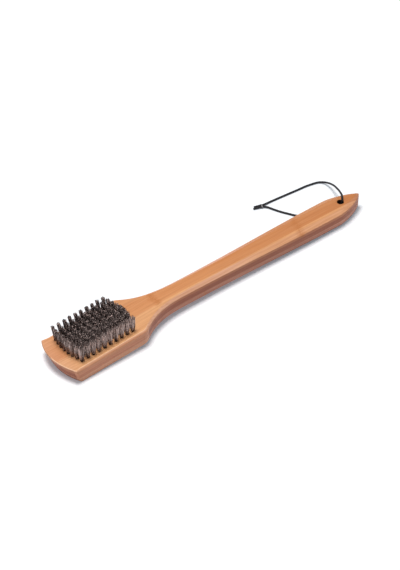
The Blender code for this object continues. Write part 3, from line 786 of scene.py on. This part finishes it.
def bamboo(name, tones, tail_tones, dark, light, edge=None, tail_edge=None, foot_shade=0, knuckles=()):
    """Bamboo with tones for the strips, across from the -Y side, at the head and at the tail."""
    material = bpy.data.materials.new(name)
    add = nodes_of(material)

    def maths(operation, *values):
        return add("Math", *enumerate(values), operation=operation).outputs[0]

    def times(first, *others):
        for other in others:
            first = maths("MULTIPLY", first, other)
        return first

    def ranged(value, span, first=0.0, last=1.0):
        """The first number below the span, the last above it, and a slope between the two."""
        low, high = span
        ends = (("From Min", low), ("From Max", high), ("To Min", first), ("To Max", last))
        return add("MapRange", ("Value", value), *ends).outputs[0]

    def fading(value, span):
        return ranged(value, span, 1.0, 0.0)

    def streaks(along, across, detail, span):
        """Marks drawn out along the fibres, so many a metre, from 0 to 1 over the noise's span."""
        scales = (along, across, across)
        stretched = add("VectorMath", (0, board), (1, scales), operation="MULTIPLY").outputs[0]
        finish = (("Scale", 1.0), ("Detail", detail), ("Roughness", STREAK_ROUGHNESS))
        return ranged(add("TexNoise", ("Vector", stretched), *finish).outputs[0], span)

    def strips(colours):
        """One colour for each strip."""
        share = maths("DIVIDE", maths("ADD", number, (STRIP_COUNT + 1) / 2), STRIP_COUNT)
        stops = [(index / STRIP_COUNT, colour) for index, colour in enumerate(colours)]
        return colour_ramp(add, share, stops, "CONSTANT")

    board = add("Attribute", attribute_name="board").outputs["Vector"]
    arris_light = add("Attribute", attribute_name="arris_light").outputs["Fac"]
    x, y, z = add("SeparateXYZ", (0, board)).outputs

    aside = times(maths("SUBTRACT", streaks(*WANDERING), 0.5), STRIP_WANDER)
    across = maths("ADD", y, aside)
    number = maths("FLOOR", maths("DIVIDE", maths("SUBTRACT", across, STRIP_EDGE), STRIP_WIDTH))
    to_tail = ranged(x, (SHOULDER_X, HOLE_X))
    head = fading(x, HEAD_END)
    colour = mixed(add, to_tail, strips(tones), strips(tail_tones))
    if edge:
        # A painted sheen of pale pink on the near bevel, on the far bevel by the head, and at the front
        # end.
        on_bevel = fading(z, BEVEL_TOP)
        far_side = ranged(x, FAR_BEVEL_SHEEN_END, FAR_BEVEL_SHEEN, 0.0)
        sheen_side = maths("MAXIMUM", maths("LESS_THAN", y, 0.0), far_side)
        sheen = maths("MAXIMUM", times(on_bevel, sheen_side), fading(x, FRONT_END))
        colour = mixed(add, times(sheen, BEVEL_SHEEN_SHARE), colour, BEVEL_SHEEN)
        # The sides below the bevel take darker tones: partly the sawn wood's colour, partly painted
        # shade.
        head_side = times(head, fading(z, HEAD_SIDE_TOP))
        sawn_and_shaded = maths("MAXIMUM", head_side, fading(z, HANDLE_SIDE_TOP))
        colour = mixed(add, sawn_and_shaded, colour, mixed(add, to_tail, strips(edge), strips(tail_edge)))

    fine = streaks(*FINE_STREAKS)
    hair = streaks(*HAIR_STREAKS)
    colour = mixed(add, times(streaks(*BROAD_STREAKS), BROAD_SHARE), colour, light)
    colour = mixed(add, times(fine, FINE_SHARE), colour, dark)
    colour = mixed(add, times(hair, HAIR_SHARE), colour, dark)
    # The grip's side is painted darker along its middle, as shade.
    grip_shade = times(ranged(x, GRIP_SHADE_START, 0.0, GRIP_SHADE_SHARE), fading(x, GRIP_SHADE_END))
    if edge:
        grip_shade = times(grip_shade, sawn_and_shaded)
    colour = mixed(add, grip_shade, colour, GRIP_SHADE)
    # The foot of the back ply is painted darker toward the tail, as shade under the raised handle.
    foot_shade_share = times(fading(z, FOOT_SHADE_TOP), ranged(x, FOOT_SHADE_START), foot_shade)
    colour = mixed(add, foot_shade_share, colour, dark)

    for knuckle_x, slant, first_y, last_y, reach, strength in knuckles:
        line = maths("MULTIPLY_ADD", y, slant, knuckle_x)
        wave = times(maths("SINE", times(y, KNUCKLE_WAVE_TURN)), KNUCKLE_WAVE)
        frayed = times(maths("SUBTRACT", streaks(*FRAYED), 0.5), KNUCKLE_FRAYING)
        off = maths("SUBTRACT", maths("ADD", maths("ADD", x, wave), frayed), line)
        mark = fading(maths("ABSOLUTE", off), (0.0, reach))
        inside = times(maths("GREATER_THAN", across, first_y), maths("LESS_THAN", across, last_y))
        shares = (SPECKLE_SHARE * strength, KNUCKLE_SHARE * strength)
        speckle = maths("MULTIPLY_ADD", streaks(*SPECKLED), *shares)
        colour = mixed(add, times(mark, inside, speckle), colour, KNUCKLE)

    # A painted highlight along the top arris of the head.
    painted_arris_highlight = times(arris_light, head, ranged(z, ARRIS_TOP), ARRIS_HIGHLIGHT_SHARE)
    colour = mixed(add, painted_arris_highlight, colour, ARRIS_HIGHLIGHT)
    if edge:
        # The eased front edge takes a painted highlight on its near half and painted shade on its far
        # half.
        near_half = fading(y, EASE_NEAR_HALF)
        ease = times(ranged(z, EASE_BOTTOM), fading(z, EASE_TOP), fading(x, EASE_BACK))
        more = EASE_HIGHLIGHT_SHARE - SHADED_EASE_SHARE
        share = times(ease, maths("MULTIPLY_ADD", near_half, more, SHADED_EASE_SHARE))
        colour = mixed(add, share, colour, mixed(add, near_half, SHADED_EASE, ARRIS_HIGHLIGHT))

    # The wall of the hanging hole is painted nearly black, as shade in the bore.
    flat_place = add("CombineXYZ", (0, x), (1, y)).outputs[0]
    from_hole = add("VectorMath", (0, flat_place), (1, (HOLE_X, 0, 0)), operation="DISTANCE")
    hole_shade = fading(from_hole.outputs["Value"], HOLE_SHADE_EDGE)
    colour = mixed(add, hole_shade, colour, HOLE_WALL_SHADE)
    ridge = maths("ADD", times(fine, FINE_RIDGE), times(hair, HAIR_RIDGE))
    relief = add("Bump", ("Strength", RIDGE_STRENGTH), ("Distance", RIDGE_DEPTH), ("Height", ridge))
    skin = add(
        "BsdfPrincipled",
        ("Base Color", colour),
        ("Roughness", ranged(fine, (0.0, 1.0), SMOOTHEST_BAMBOO, ROUGHEST_BAMBOO)),
        ("Specular IOR Level", BAMBOO_SHINE),
        ("Normal", relief.outputs[0]),
    )
    add("OutputMaterial", ("Surface", skin.outputs[0]))
    return material


# The back ply is the one that lies on the table, of a redder bamboo than the face. Its lower edge is
# eased all round, and painted darker toward the tail, as shade under the raised handle.
BACK_EASE = 0.0006
BACK_EASE_STEPS = 4
ARRIS_FOOT = 0.0004

back_bamboo = bamboo(
    "back_bamboo",
    tones=((0.72, 0.35, 0.20), (0.52, 0.21, 0.13), (0.50, 0.20, 0.13), (0.62, 0.30, 0.17)),
    tail_tones=((0.72, 0.35, 0.20), (0.62, 0.255, 0.165), (0.60, 0.245, 0.16), (0.62, 0.30, 0.17)),
    dark=(0.28, 0.10, 0.06),
    light=(0.66, 0.36, 0.25),
    foot_shade=0.8,
    knuckles=((-0.02, 0.0, -0.029, -0.007, 0.003, 1.0), (0.12, 0.0, -0.007, 0.015, 0.003, 1.0)),
)
rings = [(drawn_in(board_outline(0), lambda x: BACK_EASE + ARRIS_FOOT), flat_at(0), 0)]
for step in range(BACK_EASE_STEPS + 1):
    angle = math.pi / 2 * step / BACK_EASE_STEPS
    width = BACK_EASE * (1 - math.sin(angle))
    lift = BACK_EASE * (1 - math.cos(angle))
    rings.append((drawn_in(board_outline(lift), lambda x: width), flat_at(lift), 0))
rings.append((board_outline(LOW_SEAM), flat_at(LOW_SEAM - PLY_SEAM / 2), 0))
back_bores = [hanging_hole()]
sawn_and_bent("back_ply_of_strips", ply_mesh(rings), back_bores, back_bamboo, "back_ply")

# The core ply, glued between the other two, is a darker, toasted bamboo in its middle strips and a
# paler one at the head's sides. It shows only at the sawn edge and in the wall of the hanging hole.
core_bamboo = bamboo(
    "core_bamboo",
    tones=((0.68, 0.29, 0.165), (0.36, 0.105, 0.052), (0.36, 0.105, 0.052), (0.60, 0.26, 0.15)),
    tail_tones=((0.68, 0.29, 0.165), (0.40, 0.120, 0.056), (0.40, 0.120, 0.056), (0.60, 0.26, 0.15)),
    dark=(0.22, 0.065, 0.03),
    light=(0.48, 0.19, 0.11),
)
rings = [
    (board_outline(LOW_SEAM), flat_at(LOW_SEAM + PLY_SEAM / 2), 0),
    (board_outline(HIGH_SEAM), flat_at(HIGH_SEAM - PLY_SEAM / 2), 0),
]
core_bores = [hanging_hole()]
sawn_and_bent("core_ply_of_strips", ply_mesh(rings), core_bores, core_bamboo, "core_ply")

# The face ply is glued on top. It has a bevel all round that widens along the handle, with both of its
# arrises sanded soft, and a drilled hole for each tuft.
FRONT_EASE = 0.0008
FRONT_EASE_DROP = 0.0007
HEAD_BEVEL = 0.0024
HEAD_BEVEL_DROP = 0.0022
HEAD_BEVEL_GROWTH = 0.004
GRIP_BEVEL = 0.0069
GRIP_BEVEL_DROP = 0.0031
GRIP_BEVEL_GROWTH = 0.265
TIP_BEVEL = 0.0026
TIP_BEVEL_DROP = 0.0024
ARRIS_SPAN = 1.16
LOWER_ARRIS = ((0, ARRIS_SPAN), (0, 1), (0.12, 0.88))
LOWER_ARRIS_STEPS = 4
UPPER_ARRIS = ((0.80, 0.20), (1, 0), (ARRIS_SPAN, 0))
UPPER_ARRIS_STEPS = 5
TUFT_COLUMNS = 10
TUFT_ROWS = 8
FIELD_FRONT_MARGIN = 0.0244
FIELD_BACK_MARGIN = 0.0154
FIELD_SIDE_MARGIN = 0.0100
FIELD_FRONT_BULGE = 0.0033
FIELD_BACK_BULGE = 0.0028
FIELD_SLANT = 0.0022
TUFT_HOLE_RADIUS = 0.0020
TUFT_HOLE_SIDES = 16


def bevel_width(x):
    """How far the flat top lies inside the outline: an eased front, a bevel that widens to the grip."""
    in_head = share_along(x, FRONT_X + FRONT_BULGE, HEAD_BEVEL_GROWTH)
    in_grip = share_along(x, SHOULDER_X, GRIP_BEVEL_GROWTH)
    in_tail = share_along(x, TAIL_ROUND_X, TAIL_ROUND_LENGTH)
    width = FRONT_EASE + (HEAD_BEVEL - FRONT_EASE) * in_head
    width += (GRIP_BEVEL - HEAD_BEVEL) * math.sin(in_grip * math.pi / 2)
    return width - (GRIP_BEVEL - TIP_BEVEL) * in_tail * in_tail


def bevel_drop(x):
    """How far the bevel's outer edge lies below the flat top at x."""
    in_head = share_along(x, FRONT_X + FRONT_BULGE, HEAD_BEVEL_GROWTH)
    in_handle = share_along(x, SHOULDER_X, SHOULDER_LENGTH)
    in_tail = share_along(x, TAIL_ROUND_X, TAIL_ROUND_LENGTH)
    drop = FRONT_EASE_DROP + (HEAD_BEVEL_DROP - FRONT_EASE_DROP) * in_head
    drop += (GRIP_BEVEL_DROP - HEAD_BEVEL_DROP) * in_handle
    return drop - (GRIP_BEVEL_DROP - TIP_BEVEL_DROP) * in_tail * in_tail


def soft_corner(before, corner, after, steps):
    """Shares of inset and drop round one corner of the bevel's section, and its share of painted
    highlight.
    """
    points = []
    for step in range(steps + 1):
        t = step / steps
        first = (1 - t) ** 2
        second = 2 * t * (1 - t)
        third = t * t
        points.append((
            first * before[0] + second * corner[0] + third * after[0],
            first * before[1] + second * corner[1] + third * after[1],
            math.sin(math.pi * t),
        ))
    return points


def tuft_places(row):
    """The feet of a row's tufts. The field bulges at both ends, and slants a little from row to row."""
    across = 2 * row / (TUFT_ROWS - 1) - 1
    y = (HEAD_WIDTH / 2 - FIELD_SIDE_MARGIN) * across
    bulge = 1 - across * across
    first = FRONT_X + FIELD_FRONT_MARGIN - FIELD_SLANT * across - FIELD_FRONT_BULGE * bulge
    last = SHOULDER_X - FIELD_BACK_MARGIN - FIELD_SLANT * across + FIELD_BACK_BULGE * bulge
    return [(first + (last - first) * column / (TUFT_COLUMNS - 1), y) for column in range(TUFT_COLUMNS)]


face_bamboo = bamboo(
    "face_bamboo",
    tones=((0.80, 0.41, 0.185), (0.76, 0.385, 0.17), (0.66, 0.265, 0.092), (0.70, 0.315, 0.13)),
    tail_tones=((0.70, 0.34, 0.15), (0.72, 0.335, 0.135), (0.52, 0.175, 0.044), (0.54, 0.20, 0.060)),
    dark=(0.42, 0.14, 0.045),
    light=(0.78, 0.42, 0.20),
    # The sides' tones, darker than the top's: partly the sawn wood's colour, partly painted shade.
    edge=((0.60, 0.26, 0.155), (0.41, 0.130, 0.070), (0.41, 0.130, 0.070), (0.56, 0.24, 0.14)),
    tail_edge=((0.60, 0.26, 0.155), (0.49, 0.165, 0.082), (0.48, 0.165, 0.082), (0.56, 0.24, 0.14)),
    knuckles=((-0.0835, 0.0, -0.009, 0.012, 0.0070, 1.25), (0.1295, 0.3, -0.020, 0.020, 0.0075, 1.0)),
)
section = soft_corner(*LOWER_ARRIS, LOWER_ARRIS_STEPS) + soft_corner(*UPPER_ARRIS, UPPER_ARRIS_STEPS)
rim = board_outline(THICKNESS)
rings = [(board_outline(HIGH_SEAM), flat_at(HIGH_SEAM + PLY_SEAM / 2), 0)]
for inset, drop, arris_light in section:
    outline = drawn_in(rim, lambda x: bevel_width(x) * inset)
    rings.append((outline, lambda x, drop=drop: THICKNESS - bevel_drop(x) * drop, arris_light))
rings.append((drawn_in(rim, lambda x: bevel_width(x) * ARRIS_SPAN + ARRIS_FOOT), flat_at(THICKNESS), 0))
all_places = [place for row in range(TUFT_ROWS) for place in tuft_places(row)]
tuft_levels = [(THICKNESS / 2, TUFT_HOLE_RADIUS), (THICKNESS + OVERRUN, TUFT_HOLE_RADIUS)]
face_bores = [hanging_hole(), turned_cutter(tuft_levels, all_places, TUFT_HOLE_SIDES)]
sawn_and_bent("face_ply_of_strips", ply_mesh(rings), face_bores, face_bamboo, "face_ply")

# The bristles are tufts of thin oil-tempered steel wire, folded over an anchor at the foot of each
# hole. The wires of a tuft stand close together in the hole and spread towards their cut ends. They
# are painted darker as shade at the foot, near the ends and inside the field, with small clumps of
# painted glints that lift the shade and lighten the wires.
WIRES_PER_TUFT = 60
WIRE_RADIUS = 0.00019
WIRE_SIDES = 4
WIRE_REACH = 0.022
REACH_SHORTER = 0.0010
REACH_LONGER = 0.0006
WIRE_STRAY = 0.00040
WIRE_KINK = 0.00012
TUFT_STRAY = 0.0003
TUFT_FOOT_RADIUS = 0.0019
NEAR_TOP_RADIUS = 0.0035
FAR_TOP_RADIUS = 0.0020
MIDDLE_HEIGHT = 0.32
MIDDLE_SPREAD = 0.94
MIDDLE_LEAN = 0.30
NEXT_WIRE_TURN = math.pi * (3 - math.sqrt(5))
FRONT_TALLER = 0.0006
BACK_SHORTER = 0.0010
LEAN_FORWARD = 0.0016
LEAN_FORWARD_TURN = 0.0010
LEAN_SIDEWAYS = (0.0, 0.0043, 0.0048, 0.0038, 0.0026, 0.0022, 0.0019, 0.0019)
WIRE_BLACK = (0.014, 0.007, 0.007)
WIRE_DARK = (0.155, 0.105, 0.090)
WIRE_PALE = (0.74, 0.585, 0.54)
DARK_TONE = 0.55
PALE_TONE = 1.0
MARK_SCALE = 1600.0
MARK_DETAIL = 2.0
MARK_SHARE = 0.5
CLUMP_SCALE = 650.0
CLUMP_DETAIL = 1.0
# Painted glints, in small clumps over the wires.
GLINT_START = 0.59
GLINT_END = 0.62
GLINT_SHADE_LEFT = 0.08
GLINT_TONE = 0.4
# Painted shade: black at the foot and near the ends of the wires, and over the inner tufts.
SHADE_BY_HEIGHT = ((0.0, 1.0), (0.34, 0.0), (0.80, 0.05), (0.93, 0.75), (0.99, 0.9))
INNER_SHADE = 0.93
FRONT_TUFT_SHADE = 0.8
WIRE_METAL = 0.6
WIRE_ROUGHNESS = 0.42

steel_wire = bpy.data.materials.new("tempered_steel_wire")
add = nodes_of(steel_wire)
wire = add("Attribute", attribute_name="wire").outputs["Vector"]
own_tone, up_wire, inside = add("SeparateXYZ", (0, wire)).outputs
spot = add("TexCoord").outputs["Object"]
marks = add("TexNoise", ("Vector", spot), ("Scale", MARK_SCALE), ("Detail", MARK_DETAIL))
clumps = add("TexNoise", ("Vector", spot), ("Scale", CLUMP_SCALE), ("Detail", CLUMP_DETAIL))
# Painted glints: in small clumps the painted shade is lifted and the wires' tone is raised.
shade_outside_glints = add(
    "MapRange",
    ("Value", clumps.outputs[0]),
    ("From Min", GLINT_START),
    ("From Max", GLINT_END),
    ("To Min", 1.0),
    ("To Max", GLINT_SHADE_LEFT),
).outputs[0]
brighter = add("Math", (0, shade_outside_glints), (1, -GLINT_TONE), (2, GLINT_TONE), operation="MULTIPLY_ADD")
marked = add("Math", (0, marks.outputs[0]), (1, MARK_SHARE), (2, own_tone), operation="MULTIPLY_ADD")
tone = add("Math", (0, marked.outputs[0]), (1, brighter.outputs[0]), operation="ADD")
bright = colour_ramp(add, tone.outputs[0], ((DARK_TONE, WIRE_DARK), (PALE_TONE, WIRE_PALE)))
# Painted shade by height up the wire, deepened over the inner tufts.
height_shade = colour_ramp(add, up_wire, [(height, (painted_shade, painted_shade, painted_shade)) for height, painted_shade in SHADE_BY_HEIGHT])
inner_shade = add("Math", (0, inside), (1, INNER_SHADE), operation="MULTIPLY")
deepest = add("Math", (0, height_shade), (1, inner_shade.outputs[0]), operation="MAXIMUM")
painted_shade = add("Math", (0, deepest.outputs[0]), (1, shade_outside_glints), operation="MULTIPLY")
skin = add(
    "BsdfPrincipled",
    ("Base Color", mixed(add, painted_shade.outputs[0], bright, WIRE_BLACK)),
    ("Metallic", WIRE_METAL),
    ("Roughness", WIRE_ROUGHNESS),
)
add("OutputMaterial", ("Surface", skin.outputs[0]))


def wire_along(bm, line, turn, tone, inner_shade_share):
    """A wire through the line's points, lifted with the board, that keeps what its colour needs."""
    shade = bm.verts.layers.float_vector["wire"]
    rings = []
    for centre in line:
        ring = []
        for side in range(WIRE_SIDES):
            angle = turn + 2 * math.pi * side / WIRE_SIDES
            outward = Vector((math.cos(angle), math.sin(angle), 0))
            vert = bm.verts.new(centre + outward * WIRE_RADIUS)
            vert.co.z += back_height(centre.x)
            vert[shade] = (tone, (centre.z - THICKNESS) / WIRE_REACH, inner_shade_share)
            ring.append(vert)
        rings.append(ring)
    for face in closed_tube(bm, rings):
        face.smooth = True


def wire_row(row):
    """All the wires of one row of tufts. Wires of the near row and of the front tufts take less painted
    shade.
    """
    bm = bmesh.new()
    bm.verts.layers.float_vector.new("wire")
    chance = random.Random(row + 1)
    across = 2 * row / (TUFT_ROWS - 1) - 1
    top_radius = (NEAR_TOP_RADIUS + FAR_TOP_RADIUS - (NEAR_TOP_RADIUS - FAR_TOP_RADIUS) * across) / 2
    forward = LEAN_FORWARD + LEAN_FORWARD_TURN * across
    for column, (x, y) in enumerate(tuft_places(row)):
        back = column / (TUFT_COLUMNS - 1)
        inner_shade_share = 1 if row and column else FRONT_TUFT_SHADE * row / (TUFT_ROWS - 1)
        tuft_height = FRONT_TALLER - (FRONT_TALLER + BACK_SHORTER) * back
        stray_x = chance.uniform(-TUFT_STRAY, TUFT_STRAY)
        stray_y = chance.uniform(-TUFT_STRAY, TUFT_STRAY)
        lean = Vector((stray_x - forward, stray_y + LEAN_SIDEWAYS[row] * back, 0))
        for number in range(WIRES_PER_TUFT):
            share = math.sqrt((number + 0.5) / WIRES_PER_TUFT)
            angle = number * NEXT_WIRE_TURN + column
            outward = Vector((math.cos(angle), math.sin(angle), 0)) * share
            reach = WIRE_REACH + chance.uniform(-REACH_SHORTER, REACH_LONGER) + tuft_height
            wild = Vector((chance.gauss(0, WIRE_STRAY), chance.gauss(0, WIRE_STRAY), 0))
            kink = Vector((chance.gauss(0, WIRE_KINK), chance.gauss(0, WIRE_KINK), 0))
            foot = Vector((x, y, HIGH_SEAM)) + outward * TUFT_FOOT_RADIUS
            mouth = Vector((foot.x, foot.y, THICKNESS))
            middle = Vector((x, y, THICKNESS + reach * MIDDLE_HEIGHT))
            middle += outward * top_radius * MIDDLE_SPREAD + lean * MIDDLE_LEAN + kink
            tip = Vector((x, y, THICKNESS + reach)) + outward * top_radius + lean + wild
            tone = chance.random()
            turn = chance.uniform(0, 2 * math.pi)
            wire_along(bm, (foot, mouth, middle, tip), turn, tone, inner_shade_share)
    return bm


for row in range(TUFT_ROWS):
    wires = piece_from(f"wire_row_{row + 1}", wire_row(row), steel_wire)
    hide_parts(f"bristle_row_{row + 1}")
